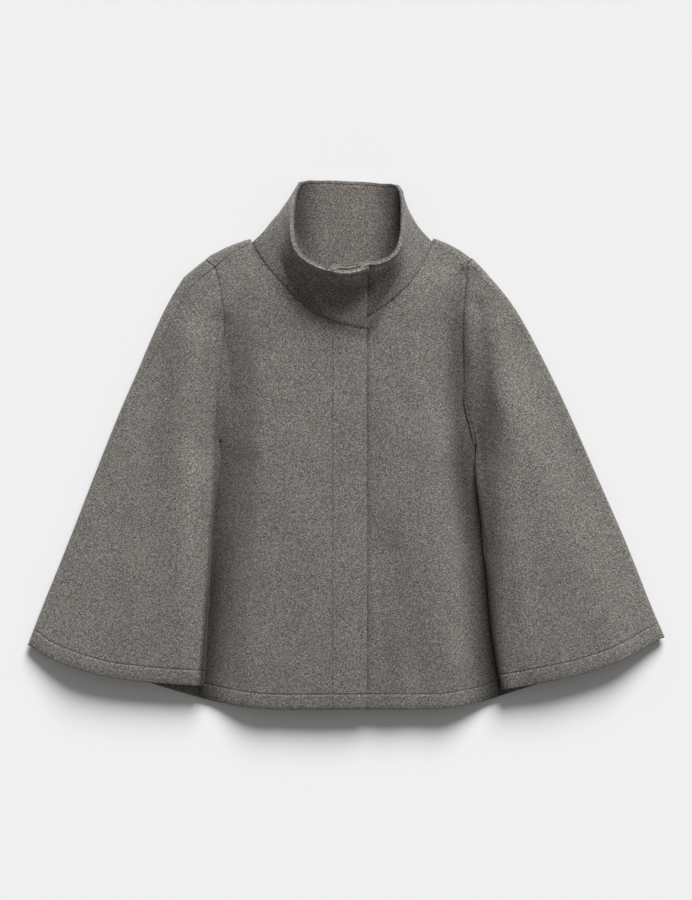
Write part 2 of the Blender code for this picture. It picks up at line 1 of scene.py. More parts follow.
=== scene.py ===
# %% [markdown]
# # A wool cape coat, laid flat
# The coat lies on its back on a pale surface, and we look straight down on it. Its cloth is a
# thick brushed wool, so the seams are soft, the hems are turned up and topstitched, and nothing
# on it is crisp. The solids that we load already have every panel at its real size. We dress each
# one with a finer sheet of cloth and a woollen finish.

# %% Load the model
import math

import bpy
import numpy as np
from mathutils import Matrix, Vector, noise
from mathutils.bvhtree import BVHTree


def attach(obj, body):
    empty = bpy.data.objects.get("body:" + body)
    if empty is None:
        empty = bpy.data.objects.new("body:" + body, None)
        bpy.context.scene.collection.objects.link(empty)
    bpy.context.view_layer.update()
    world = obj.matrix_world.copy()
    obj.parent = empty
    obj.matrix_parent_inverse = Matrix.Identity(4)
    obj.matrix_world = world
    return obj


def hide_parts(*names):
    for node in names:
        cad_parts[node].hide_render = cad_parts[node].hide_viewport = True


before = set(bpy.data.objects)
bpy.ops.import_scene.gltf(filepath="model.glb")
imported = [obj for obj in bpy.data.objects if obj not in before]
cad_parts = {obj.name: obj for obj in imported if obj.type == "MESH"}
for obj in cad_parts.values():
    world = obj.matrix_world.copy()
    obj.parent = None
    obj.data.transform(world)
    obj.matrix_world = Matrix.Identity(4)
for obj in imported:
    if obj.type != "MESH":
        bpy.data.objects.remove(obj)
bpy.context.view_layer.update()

MM = 0.001
middle_x, middle_y = 1.0, 341.1  # mm, from the pattern's own corner to the model's origin
print("panels:", sorted(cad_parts))

# %% [markdown]
# ## Camera
# The photograph was taken from straight above, from far enough away that the sleeves don't lean
# outwards. A long lens at 9 m does the same, where a near camera would show the collar's sides. One
# pixel is 1.29 mm on the coat, which sets the focal length.

# %% Camera
PHOTO_WIDTH, PHOTO_HEIGHT = 692, 900  # pixels
CENTRE_COLUMN, HEM_ROW = 345.5, 709  # where the photograph shows the pattern's own corner
PIXEL = 1.29 * MM
CAMERA_DISTANCE = 9.0
SENSOR = 36.0
look_at = Vector(((PHOTO_WIDTH / 2 - CENTRE_COLUMN) * PIXEL - middle_x * MM,
                  (HEM_ROW - PHOTO_HEIGHT / 2) * PIXEL - middle_y * MM, 0.0))

camera = bpy.data.objects.new("camera", bpy.data.cameras.new("camera"))
bpy.context.scene.collection.objects.link(camera)
camera.location = look_at + Vector((0, 0, CAMERA_DISTANCE))
camera.data.sensor_width = SENSOR
camera.data.lens = SENSOR * CAMERA_DISTANCE / (PHOTO_HEIGHT * PIXEL)
bpy.context.scene.camera = camera
bpy.context.scene.view_settings.view_transform = "Standard"
print("lens", round(camera.data.lens, 1), "mm")

# %% [markdown]
# ## Light
# Soft light comes from beyond the collar and a little from the right, low enough to draw a short
# shadow under the hems. A sun with a wide angle gives every shadow the same soft edge, which a
# nearby area light would not. The room adds a little warm fill.

# %% Light
LIGHT_TILT, LIGHT_TURN = math.radians(57), math.radians(-14)
LIGHT_STRENGTH, LIGHT_SPREAD = 4.7, math.radians(31)
ROOM_COLOUR, ROOM_STRENGTH = (1.0, 0.985, 0.965, 1.0), 0.23
sun = bpy.data.objects.new("window_light", bpy.data.lights.new("window_light", "SUN"))
bpy.context.scene.collection.objects.link(sun)
sun.rotation_euler = (-LIGHT_TILT, 0, LIGHT_TURN)
sun.data.energy = LIGHT_STRENGTH
sun.data.angle = LIGHT_SPREAD

world = bpy.data.worlds.new("soft_room")
bpy.context.scene.world = world
world.use_nodes = True
room = world.node_tree.nodes["Background"]
room.inputs["Color"].default_value = ROOM_COLOUR
room.inputs["Strength"].default_value = ROOM_STRENGTH
print("lights:", sun.name, world.name)

# %% [markdown]
# ## Surface
# The surface is matt paper, a touch cool, so that it comes out a neutral pale grey in that light.

# %% Surface under the coat
TABLE_WIDTH, TABLE_TOP = 12.0, -0.0006  # just under the cloth, so that the two never touch
bpy.ops.object.select_all(action="DESELECT")
bpy.ops.mesh.primitive_plane_add(size=TABLE_WIDTH, location=(0, 0, TABLE_TOP))
table = bpy.context.object
table.name = "table"
bpy.ops.object.transform_apply(location=True)
paper = bpy.data.materials.new("matt_paper")
paper.use_nodes = True
paper_shader = paper.node_tree.nodes["Principled BSDF"]
paper_shader.inputs["Base Color"].default_value = (0.832, 0.836, 0.841, 1.0)
paper_shader.inputs["Roughness"].default_value = 0.9
paper_shader.inputs["Specular IOR Level"].default_value = 0.1
table.data.materials.append(paper)
print("surface:", table.name)

# %% [markdown]
# ## The pattern's lines
# Topstitching follows the cut edges at a fixed distance, as a sewing machine's guide does, and
# neighbouring panels are sewn along the same line. So we need those lines as curves. We could read
# them off the solids' meshes, but a few plan points each say more plainly what they are: in mm,
# outwards from the centre line and up from the hem, for the wearer's right and left.

# %% Seam and hem lines
LINES = {
    "right": {
        "hem": [(-40, 0), (0, 0), (97, 0), (149, 6), (181, 13), (214, 22), (250, 33)],
        "cuff": [(406, 82), (381, 66), (317, 44), (252, 35), (183, 30)],
        "armhole": [(168, 569), (164, 557), (157, 516), (157, 476), (161, 437), (165, 386),
                    (166, 347)],
        "underarm": [(166, 347), (168, 307), (171, 270), (174, 192), (178, 115), (183, 30)],
        "overarm": [(121, 600), (136, 594), (157, 578), (168, 569), (181, 560), (200, 543),
                    (216, 515), (233, 482), (261, 427), (281, 395), (320, 301), (356, 208),
                    (388, 130), (406, 82)],
        "neck": [(-27.5, 487), (0, 493), (20, 499), (46, 512), (78, 542), (108, 577), (121, 600)],
    },
    "left": {
        "hem": [(-40, 0), (0, 0), (97, 0), (128, 1), (173, 9), (199, 17), (248, 32)],
        "cuff": [(408, 92), (354, 63), (302, 45), (251, 34), (202, 25)],
        "armhole": [(158, 575), (155, 547), (151, 489), (154, 406), (158, 384), (166, 353),
                    (169, 340)],
        "underarm": [(169, 340), (171, 300), (175, 250), (178, 218), (184, 153), (190, 89),
                     (202, 25)],
        "overarm": [(113, 600), (128, 596), (148, 584), (158, 575), (180, 555), (199, 533),
                    (218, 504), (237, 470), (257, 437), (278, 394), (320, 301), (361, 208),
                    (391, 130), (408, 92)],
        "neck": [(-16.5, 497), (4, 498), (26, 503), (51, 518), (83, 547), (103, 577), (113, 600)],
    },
}
SIGN = {"right": -1, "left": 1}
RIM = [  # the collar's free edge, from the upper end round the back to the under end: x, y, z in mm
    (29, 571, 88), (6, 564, 89), (-18, 566, 87), (-44, 576, 81), (-62, 593, 72), (-69, 622, 55),
    (-67, 655, 30), (-59, 680, 8), (-33, 682, 1), (-14, 682, 1), (5, 681, 1), (28, 680, 1),
    (47, 678, 1), (68, 676, 8), (75, 656, 30), (73, 616, 57), (63, 588, 73), (41, 575, 81),
    (24, 577, 82), (-21, 574, 81)]
print(sum(len(side) for side in LINES.values()), "lines and the collar's rim")

# %% [markdown]
# A curve through all of its points, with no corner at any of them, is what a pattern cutter draws
# with a flexible ruler. We work it out span by span. Later steps ask how far each point of a
# panel lies from such a line, and how far along the line that is.

# %% Curves through the points
SPAN_POINTS = 10
LONG_WAY = 9.0  # m, further than any point can be


def smooth(points):
    """A close run of points on a curve through the given ones."""
    p = np.array(points, float)
    q = np.vstack([2 * p[0] - p[1], p, 2 * p[-1] - p[-2]])
    out = []
    for i in range(1, len(q) - 2):
        a, b, c, d = q[i - 1:i + 3]
        for t in np.linspace(0, 1, SPAN_POINTS, endpoint=False):
            bend = 2 * a - 5 * b + 4 * c - d + t * (3 * (b - c) + d - a)
            out.append(b + 0.5 * t * (c - a + t * bend))
    return np.vstack([out, p[-1:]])


def smooth_line(side, name):
    """A line of the pattern as a close run of plan points in the model's frame."""
    return (smooth(LINES[side][name]) * [SIGN[side], 1] - [middle_x, middle_y]) * MM


def nearest(line, points):
    """How far each point lies from a line, and how far along the line it is nearest."""
    a, step = line[:-1], np.diff(line, axis=0)
    size = (step ** 2).sum(1)
    along_before = np.concatenate([[0], np.cumsum(np.sqrt(size))])[:-1]
    gap = np.full(len(points), LONG_WAY)
    along = np.zeros(len(points))
    for k in range(len(a)):
        t = np.clip(((points - a[k]) @ step[k]) / size[k], 0, 1)
        d = np.linalg.norm(points - (a[k] + t[:, None] * step[k]), axis=1)
        better = d < gap
        gap[better] = d[better]
        along[better] = along_before[k] + t[better] * math.sqrt(size[k])
    return gap, along


lines = {(side, name): smooth_line(side, name) for side in LINES for name in LINES[side]}
rim_line = (smooth(RIM) - [middle_x, middle_y, 0]) * MM
print(len(lines), "smooth lines, and a rim of", len(rim_line), "points")

# %% [markdown]
# ## Wool finishes
# The cloth is a melange: dark, middle and pale fibres spun together, then brushed. From a metre
# away it reads as a warm grey with fine salt and pepper fleck. Three shared effects make it: the
# fleck, the brushed nap and a topstitched line. Each is a node group, so that both wools use the
# same one. The helpers below make each kind of node in one line.

# %% Node helpers
def new_group(name, inputs, outputs):
    """A shader node group with named sockets and default values."""
    group = bpy.data.node_groups.new(name, "ShaderNodeTree")
    for label, kind, value in inputs:
        socket = group.interface.new_socket(label, in_out="INPUT", socket_type=kind)
        if value is not None:
            socket.default_value = value
    for label, kind in outputs:
        group.interface.new_socket(label, in_out="OUTPUT", socket_type=kind)
    return group, group.nodes.new("NodeGroupInput"), group.nodes.new("NodeGroupOutput")


def math_node(tree, operation, a, b=None, c=None):
    """One sum, on sockets and plain numbers."""
    node = tree.nodes.new("ShaderNodeMath")
    node.operation = operation
    for socket, value in zip(node.inputs, (a, b, c)):
        if isinstance(value, (int, float)):
            socket.default_value = value
        elif value is not None:
            tree.links.new(value, socket)
    return node.outputs[0]


def noise_value(tree, vector, scale, detail, roughness):
    """Noise from 0 to 1, with scale waves to the metre."""
    node = tree.nodes.new("ShaderNodeTexNoise")
    tree.links.new(vector, node.inputs["Vector"])
    node.inputs["Scale"].default_value = scale
    node.inputs["Detail"].default_value = detail
    node.inputs["Roughness"].default_value = roughness
    return node.outputs["Fac"]


def mix_colours(tree, factor, first, second, blend="MIX"):
    """Two colours mixed, by a socket or a plain number."""
    node = tree.nodes.new("ShaderNodeMix")
    node.data_type = "RGBA"
    node.blend_type = blend
    if isinstance(factor, float):
        node.inputs["Factor"].default_value = factor
    else:
        tree.links.new(factor, node.inputs["Factor"])
    tree.links.new(first, node.inputs["A"])
    tree.links.new(second, node.inputs["B"])
    return node.outputs["Result"]


def group_node(tree, group, **inputs):
    """A group placed in a tree, with some of its inputs linked."""
    node = tree.nodes.new("ShaderNodeGroup")
    node.node_tree = group
    for label, socket in inputs.items():
        tree.links.new(socket, node.inputs[label])
    return node


def attribute_value(tree, label):
    """A value that each piece carries at its points."""
    node = tree.nodes.new("ShaderNodeAttribute")
    node.attribute_name = label
    return node.outputs["Fac"]


# %% [markdown]
# ### Melange fleck
# Short fibres of three shades lie across each other. Plain noise would look like sand, so two
# noises are drawn out in different directions and added. A strong contrast then splits them into
# dark, middle and pale fibres with few shades between.

# %% Melange fleck
CONTRAST, LEVEL = 5.6, 0.49
fleck_group, fleck_in, fleck_out = new_group(
    "melange_fleck",
    [("Vector", "NodeSocketVector", None),
     ("Dark", "NodeSocketColor", (0.05, 0.048, 0.045, 1)),
     ("Middle", "NodeSocketColor", (0.16, 0.155, 0.145, 1)),
     ("Pale", "NodeSocketColor", (0.36, 0.35, 0.33, 1))],
    [("Color", "NodeSocketColor"), ("Fibre", "NodeSocketFloat")])


def fibres(rotation, stretch, scale):
    """Noise drawn out in one direction."""
    turned = fleck_group.nodes.new("ShaderNodeMapping")
    turned.inputs["Rotation"].default_value = rotation
    turned.inputs["Scale"].default_value = stretch
    fleck_group.links.new(fleck_in.outputs["Vector"], turned.inputs["Vector"])
    return noise_value(fleck_group, turned.outputs["Vector"], scale, 4.0, 0.75)


both = math_node(fleck_group, "ADD", fibres((0.3, 0.2, 0.7), (1.0, 2.6, 1.0), 400),
                 fibres((0.1, 0.4, -0.6), (2.4, 1.0, 1.0), 500))
centred = math_node(fleck_group, "SUBTRACT", math_node(fleck_group, "MULTIPLY", both, 0.5), 0.5)
clamp = fleck_group.nodes.new("ShaderNodeClamp")
spread = math_node(fleck_group, "MULTIPLY_ADD", centred, CONTRAST, LEVEL)
fleck_group.links.new(spread, clamp.inputs["Value"])
fibre = clamp.outputs[0]
darker = mix_colours(fleck_group, math_node(fleck_group, "MULTIPLY", fibre, 2.0),
                     fleck_in.outputs["Dark"], fleck_in.outputs["Middle"])
flecked = mix_colours(fleck_group, math_node(fleck_group, "MULTIPLY_ADD", fibre, 2.0, -1.0),
                      darker, fleck_in.outputs["Pale"])
fleck_group.links.new(flecked, fleck_out.inputs["Color"])
fleck_group.links.new(fibre, fleck_out.inputs["Fibre"])
print(fleck_group.name, len(fleck_group.nodes), "nodes")

# %% [markdown]
# ### Brushed nap
# Brushing pulls fibres up into tufts about a millimetre wide, over softer lumps, and leaves
# broad patches a little lighter or darker. Tufts and lumps go to the bump, because they catch the
# light, and the patches go to the colour.

# %% Brushed nap
PATCH_CONTRAST, PATCH_DARKEST = 0.30, 0.85
nap_group, nap_in, nap_out = new_group(
    "brushed_nap", [("Vector", "NodeSocketVector", None)],
    [("Height", "NodeSocketFloat"), ("Shade", "NodeSocketFloat")])
tufts = noise_value(nap_group, nap_in.outputs["Vector"], 900, 3.0, 0.7)
lumps = noise_value(nap_group, nap_in.outputs["Vector"], 160, 2.0, 0.6)
patches = noise_value(nap_group, nap_in.outputs["Vector"], 26, 4.0, 0.6)
height = math_node(nap_group, "ADD", math_node(nap_group, "MULTIPLY", tufts, 0.5),
                   math_node(nap_group, "MULTIPLY", lumps, 0.5))
shade = math_node(nap_group, "MULTIPLY_ADD", patches, PATCH_CONTRAST, PATCH_DARKEST)
nap_group.links.new(height, nap_out.inputs["Height"])
nap_group.links.new(shade, nap_out.inputs["Shade"])
print(nap_group.name, len(nap_group.nodes), "nodes")

# %% [markdown]
# ### Topstitched line
# A stitched line sinks into thick wool and shows as a soft groove, a little deeper at each
# stitch, and the turned-up cloth between it and the edge stands higher. Modelled thread would be
# lost in the nap. So the groove is drawn where a distance that each piece carries at its points
# reaches a given place, and a wave along the line makes the stitches. The groove is a bump, and
# the wool paints shade into its colour there.

# %% Topstitched line
GROOVE_WIDTH, STITCH_LENGTH, BAND_FADE = 2.2 * MM, 3.4 * MM, 3 * MM
STITCH_MEAN, STITCH_BEAT = 0.82, 0.18  # depth along the line
stitch_group, stitch_in, stitch_out = new_group(
    "topstitched_line",
    [("Distance", "NodeSocketFloat", 0.1), ("Along", "NodeSocketFloat", 0.0),
     ("Place", "NodeSocketFloat", 0.02)],
    [("Groove", "NodeSocketFloat"), ("Band", "NodeSocketFloat")])
inside_by = math_node(stitch_group, "SUBTRACT",
                      stitch_in.outputs["Place"], stitch_in.outputs["Distance"])
off = math_node(stitch_group, "ABSOLUTE", inside_by)
off = math_node(stitch_group, "DIVIDE", off, GROOVE_WIDTH)
near = math_node(stitch_group, "SUBTRACT", 1.0, off)
near = math_node(stitch_group, "MAXIMUM", near, 0.0)
hollow = math_node(stitch_group, "MULTIPLY", near, near)
turn = math_node(stitch_group, "MULTIPLY",
                 stitch_in.outputs["Along"], 2 * math.pi / STITCH_LENGTH)
beat = math_node(stitch_group, "MULTIPLY_ADD", math_node(stitch_group, "SINE", turn),
                 STITCH_BEAT, STITCH_MEAN)
band = math_node(stitch_group, "DIVIDE", inside_by, BAND_FADE)
band = math_node(stitch_group, "MINIMUM", math_node(stitch_group, "MAXIMUM", band, 0.0), 1.0)
groove = math_node(stitch_group, "MULTIPLY", hollow, beat)
stitch_group.links.new(groove, stitch_out.inputs["Groove"])
stitch_group.links.new(band, stitch_out.inputs["Band"])
print(stitch_group.name, len(stitch_group.nodes), "nodes")

# %% [markdown]
# ### The wool
# The wool itself is one recipe for colour and relief. Its colour also takes painted shade and
# painted highlights that each piece carries, along the folds, the neck seam and the collar.

# %% Wool's colour and relief
HEM_DEPTH = 20 * MM
# Painted shade in the stitched grooves: their colour is darker by up to this share.
PAINTED_GROOVE_SHADE = 0.30
NAP_RELIEF, GROOVE_RELIEF, HEM_RELIEF, FIBRE_RELIEF = 0.55, 1.1, 0.7, 0.12  # mm at full strength
BUMP_STRENGTH = 0.8


def stitched(tree, label, place):
    """The groove and the raised band of one stitched line."""
    node = group_node(tree, stitch_group, Distance=attribute_value(tree, f"{label}_distance"),
                      Along=attribute_value(tree, f"{label}_along"))
    node.inputs["Place"].default_value = place
    return node.outputs["Groove"], node.outputs["Band"]


def shaded(tree, colour, nap_shade, groove):
    """The fleck's colour, with painted shade in the grooves, and painted shade and highlights along
    the folds.
    """
    # The nap's own patches, with painted shade in the stitched grooves.
    shade = math_node(tree, "MULTIPLY", nap_shade,
                      math_node(tree, "MULTIPLY_ADD", groove, -PAINTED_GROOVE_SHADE, 1.0))
    # Painted shade and painted highlights that each piece carries at its points.
    shade = math_node(tree, "MULTIPLY", shade,
                      math_node(tree, "SUBTRACT", 1.0, attribute_value(tree, "painted_shade_and_highlight")))
    return mix_colours(tree, 1.0, colour, shade, "MULTIPLY")


def raised(tree, nap, fibre, groove, band):
    """The normal of the nap, the fibres, the grooves and the turned-up hems."""
    relief = math_node(tree, "MULTIPLY", nap, NAP_RELIEF)
    for height, share in ((groove, -GROOVE_RELIEF), (band, HEM_RELIEF), (fibre, FIBRE_RELIEF)):
        relief = math_node(tree, "MULTIPLY_ADD", height, share, relief)
    bump = tree.nodes.new("ShaderNodeBump")
    bump.inputs["Strength"].default_value = BUMP_STRENGTH
    bump.inputs["Distance"].default_value = 1.0 * MM
    tree.links.new(relief, bump.inputs["Height"])
    return bump.outputs["Normal"]


# %% [markdown]
# A weak sheen stands for the finest hairs, which no bump can show. The outer cloth and the
# collar's inside differ only in the colours of their fibres, because the inside faces away from
# wear and reads warmer and cleaner.

# %% The two wools
def wool(name, dark, middle, pale):
    """Brushed melange wool, with up to two topstitched lines where a piece carries them."""
    material = bpy.data.materials.new(name)
    material.use_nodes = True
    tree = material.node_tree
    shader = tree.nodes["Principled BSDF"]
    place = tree.nodes.new("ShaderNodeTexCoord").outputs["Object"]
    fleck = group_node(tree, fleck_group, Vector=place)
    for label, colour in (("Dark", dark), ("Middle", middle), ("Pale", pale)):
        fleck.inputs[label].default_value = (*colour, 1.0)
    nap = group_node(tree, nap_group, Vector=place)
    hem_groove, hem_band = stitched(tree, "hem", HEM_DEPTH)
    seam_groove, _ = stitched(tree, "seam", 0.0)
    groove = math_node(tree, "MAXIMUM", hem_groove, seam_groove)
    colour = shaded(tree, fleck.outputs["Color"], nap.outputs["Shade"], groove)
    normal = raised(tree, nap.outputs["Height"], fleck.outputs["Fibre"], groove, hem_band)
    tree.links.new(colour, shader.inputs["Base Color"])
    tree.links.new(normal, shader.inputs["Normal"])
    shader.inputs["Roughness"].default_value = 0.95
    shader.inputs["Specular IOR Level"].default_value = 0.15
    shader.inputs["Sheen Weight"].default_value = 0.12
    shader.inputs["Sheen Roughness"].default_value = 0.6
    return material


outer_wool = wool("outer_wool", (0.036, 0.033, 0.030), (0.139, 0.130, 0.119), (0.360, 0.341, 0.314))
inner_wool = wool("inner_wool", (0.038, 0.033, 0.030), (0.148, 0.133, 0.122), (0.375, 0.343, 0.318))
print("finishes:", outer_wool.name, inner_wool.name)

# %% [markdown]
# ## From solids to cloth
# Each solid is a panel of even thickness with a coarse mesh. We copy it, merge its loose
# triangles, turn them back into quads and subdivide twice. A crease on the cut edges keeps them
# from shrinking, but lets them round over a little, as thick wool does.

# %% Cloth sheet from a panel
SUBDIVISIONS, EDGE_CREASE = 2, 0.8
CUT_EDGE, SMOOTH_UNDER = math.radians(55), math.radians(60)


def make_active(piece):
    """Selects one piece for the tools that work on the active object."""
    bpy.ops.object.select_all(action="DESELECT")
    piece.select_set(True)
    bpy.context.view_layer.objects.active = piece


def cloth_from(node):
    """A finer sheet of cloth, made from a copy of a panel."""
    mesh = bpy.data.objects[node].data.copy()
    mesh.materials.clear()
    piece = bpy.data.objects.new(f"{node}_cloth", mesh)
    bpy.context.scene.collection.objects.link(piece)
    make_active(piece)
    bpy.ops.object.mode_set(mode="EDIT")
    bpy.ops.mesh.select_all(action="SELECT")
    bpy.ops.mesh.remove_doubles(threshold=0.01 * MM)
    bpy.ops.mesh.tris_convert_to_quads(face_threshold=math.radians(50),
                                       shape_threshold=math.radians(70))
    bpy.ops.mesh.select_all(action="DESELECT")
    bpy.ops.mesh.edges_select_sharp(sharpness=CUT_EDGE)
    bpy.ops.transform.edge_crease(value=EDGE_CREASE)
    bpy.ops.object.mode_set(mode="OBJECT")
    finer = piece.modifiers.new("finer", "SUBSURF")
    finer.levels = finer.render_levels = SUBDIVISIONS
    bpy.ops.object.modifier_apply(modifier=finer.name)
    bpy.ops.object.shade_smooth_by_angle(angle=SMOOTH_UNDER)
    return piece


NODES = ["back", "front_right", "front_left", "sleeve_front_right", "sleeve_back_right",
         "sleeve_front_left", "sleeve_back_left", "collar", "collar_facing"]
cloth = {node: cloth_from(node) for node in NODES}
for node, piece in cloth.items():
    print(node, len(piece.data.polygons), "faces")

# %% [markdown]
# The forms that follow are moves of each sheet's points, all at once as one array. Two more
# helpers are needed: one gives a piece's points a value that its material can read, and one makes
# a straight fade between 0 and 1 into a smooth one.

# %% Points as arrays
def points_of(piece):
    """A piece's points, one row each."""
    flat = np.empty(len(piece.data.vertices) * 3)
    piece.data.vertices.foreach_get("co", flat)
    return flat.reshape(-1, 3)


def set_points(piece, points):
    """Puts moved points back into a piece."""
    piece.data.vertices.foreach_set("co", np.ascontiguousarray(points).ravel())
    piece.data.update()


def carry(piece, label, values):
    """Keeps a value at each point of a piece, for its material."""
    attribute = piece.data.attributes.new(label, "FLOAT", "POINT")
    attribute.data.foreach_set("value", np.asarray(values, float))


def ease(share):
    """From 0 to 1 without a corner at either end."""
    return share * share * (3 - 2 * share)


print("points to move:", sum(len(piece.data.vertices) for piece in cloth.values()))

# %% [markdown]
# ## Soft relief
# Wool never lies as evenly as its pattern. We press in the low troughs that the photograph
# shows, raise the ridges beside them, and let the cloth waver by about a millimetre. Each one is
# a few plan points, a height and a width, in mm, and the cloth's two faces move together. Cloth
# that lies low stays where it is, so nothing is pressed into the surface.

# %% Troughs and ridges
RELIEF = [  # side, height, half width, path
    ("left", -4.5, 9, [(151, 560), (150, 480), (150, 400), (154, 330), (161, 250), (168, 190),
                       (176, 110)]),
    ("left", -4.5, 10, [(170, 520), (177, 460), (180, 400), (181, 340), (182, 280), (184, 200)]),
    ("left", 3.5, 16, [(200, 490), (212, 400), (214, 300), (222, 180), (232, 60)]),
    ("left", 3.0, 16, [(126, 540), (120, 430), (120, 330), (128, 200), (140, 60)]),
    ("left", -1.6, 14, [(40, 470), (60, 420), (86, 380)]),
    ("left", -1.5, 15, [(56, 205), (64, 160), (80, 100), (84, 60)]),
    ("right", -4.5, 10, [(160, 500), (152, 440), (149, 380), (152, 320), (158, 240), (163, 160),
                         (168, 80)]),
    ("right", 3.0, 16, [(122, 500), (114, 400), (116, 300), (122, 180), (132, 60)]),
    ("right", 3.5, 15, [(196, 480), (192, 400), (196, 320), (202, 240), (206, 140), (208, 60)]),
    ("right", -1.5, 12, [(60, 500), (84, 470), (110, 455)]),
    ("right", -1.6, 14, [(226, 430), (236, 330), (246, 250), (250, 150)]),
    ("right", -1.2, 14, [(300, 330), (306, 240), (300, 150)]),
    ("left", -1.2, 14, [(296, 330), (306, 240), (310, 150)]),
]
WAVER, BROAD, FINE = 0.7 * MM, (14, 14, 6), (37, 37, 9)  # height, and waves to the metre
RELIEF_ABOVE, RELIEF_FADE = 8 * MM, 8 * MM  # heights above the surface


def waver(points):
    """A broad wave and a finer one over the cloth."""
    return np.array([noise.noise(Vector(p * BROAD)) + 0.5 * noise.noise(Vector(p * FINE))
                     for p in points])


def path_line(side, path):
    """Plan points in mm as a line in the model's frame."""
    return (np.array(path, float) * [SIGN[side], 1] - [middle_x, middle_y]) * MM


def add_relief(piece):
    """Raises and lowers a sheet along the lines of RELIEF."""
    points = points_of(piece)
    lift = WAVER * waver(points)
    for side, height, width, path in RELIEF:
        gap, _ = nearest(path_line(side, path), points[:, :2])
        lift += height * MM * np.exp(-(gap / (width * MM)) ** 2)
    high_enough = np.clip((points[:, 2] - RELIEF_ABOVE) / RELIEF_FADE, 0, 1)
    points[:, 2] += lift * high_enough
    set_points(piece, points)


for node in ("front_right", "front_left", "sleeve_front_right", "sleeve_front_left"):
    add_relief(cloth[node])
print("relief on the fronts and the sleeves")

# %% [markdown]
# Where a sleeve leaves the body, its fold rolls over the seam and hides it. We draw the sleeve's
# upper cloth a few millimetres over the body there. Its lowest points stay where they are, so the
# underarm seam stays closed.

# %% Roll of the sleeve over the armhole
ROLL = {"right": 7.0 * MM, "left": 3.5 * MM}
ROLL_LIFT = {"right": 3.0 * MM, "left": 1.5 * MM}
ROLL_ALONG = [0.215, 0.325, 0.385, 0.447], [0, 1, 1, 0]  # m above the hem, and share there
ROLL_WIDTH, ROLL_ABOVE, ROLL_FADE = 16 * MM, 5 * MM, 6 * MM


def roll_over(piece, side):
    """Draws a sleeve's fold over the body beside it."""
    points = points_of(piece)
    fold = np.vstack([lines[side, "armhole"][:-1], lines[side, "underarm"]])
    gap, _ = nearest(fold, points[:, :2])
    reach = ease(np.interp(points[:, 1] + middle_y * MM, *ROLL_ALONG))
    reach = reach * np.exp(-(gap / ROLL_WIDTH) ** 2)
    high = np.clip((points[:, 2] - ROLL_ABOVE) / ROLL_FADE, 0, 1)
    points[:, 0] -= SIGN[side] * ROLL[side] * reach * high
    points[:, 2] += ROLL_LIFT[side] * reach * high
    set_points(piece, points)


for side in ("right", "left"):
    roll_over(cloth[f"sleeve_front_{side}"], side)
print("sleeves rolled over the end of each armhole")

# %% [markdown]
# The panels' heights change quickly round the end of the armhole. Brushed wool is too thick for
# a sharp dent, so each height there becomes the mean of those around it on the same face. Close to
# the seams the heights stay, because the panels have to meet there.

# %% Even heights round the armhole's end
EVEN_RADIUS, EVEN_FADE, EVEN_WIDTH = 62 * MM, 24 * MM, 13 * MM
SEAM_CLEAR, SEAM_FADE = 1.5 * MM, 9 * MM
CROWD_WIDTH = 3 * MM  # points closer together than this share their weight


def local_mean(plan, heights):
    """For each point the mean height round it, whether the points stand close together or not."""
    squared = ((plan[:, None] - plan[None]) ** 2).sum(2)
    crowd = np.exp(-squared / CROWD_WIDTH ** 2).sum(1)
    weight = np.exp(-squared / EVEN_WIDTH ** 2) / crowd
    return (weight * heights).sum(1) / weight.sum(1)


def even_out(piece, side):
    """Evens the heights round the end of the armhole, on each face of a sheet by itself."""
    points = points_of(piece)
    facing_up = np.array([vertex.normal.z > 0 for vertex in piece.data.vertices])
    apart = np.linalg.norm(points[:, :2] - lines[side, "underarm"][0], axis=1)
    seam = np.minimum(nearest(lines[side, "armhole"], points[:, :2])[0],
                      nearest(lines[side, "underarm"], points[:, :2])[0])
    close = (apart < EVEN_RADIUS + EVEN_WIDTH) & (seam > SEAM_CLEAR)
    for up in (True, False):
        around = np.flatnonzero(close & (facing_up == up))
        mean = local_mean(points[around, :2], points[around, 2])
        share = np.clip((EVEN_RADIUS - apart[around]) / EVEN_FADE, 0, 1)
        share *= np.clip((seam[around] - SEAM_CLEAR) / SEAM_FADE, 0, 1)
        points[around, 2] += (mean - points[around, 2]) * share
    set_points(piece, points)


for side in ("right", "left"):
    even_out(cloth[f"front_{side}"], side)
    even_out(cloth[f"sleeve_front_{side}"], side)
print("heights evened out")

# %% [markdown]
# ## The collar's edge
# The collar's edge is a soft roll about 6 mm thick, where the outer band turns over on to the
# inner one. At the front it leans out a little. The under end stands behind the upper one. We
# push it forwards and lift it a little, so that it shows as a strip along the upper one.

# %% Rolled edge and under end
LEAN, LEAN_REACH = 3.5 * MM, 18 * MM
FRONT_ABOVE, FRONT_FADE = 45 * MM, 25 * MM  # heights above the surface
UNDER_FORWARD = [(-24, -18, 6, 24, 29, 50), (4.8, 5.8, 9.2, 5.2, 3.6, 0)]  # across the front, in mm
UNDER_LIFT, UNDER_REACH = 4.0 * MM, 40 * MM
UNDER_UNTIL, UNDER_FADE = 50 * MM, 22 * MM  # across the front
BAND_DEPTH = 6 * MM  # both bands, from the outer face to the inner one
UPPER_COUNT, UNDER_COUNT = 40, 25  # points of the rim that belong to each end
upper_line, under_line = rim_line[:UPPER_COUNT], rim_line[-UNDER_COUNT:]
collar_middle = np.array([3 - middle_x, 625 - middle_y]) * MM


def fade(gap, reach):
    """1 over both bands' thickness, then smoothly down to 0."""
    return 1 - ease(np.clip((gap - BAND_DEPTH) / (reach - BAND_DEPTH), 0, 1))


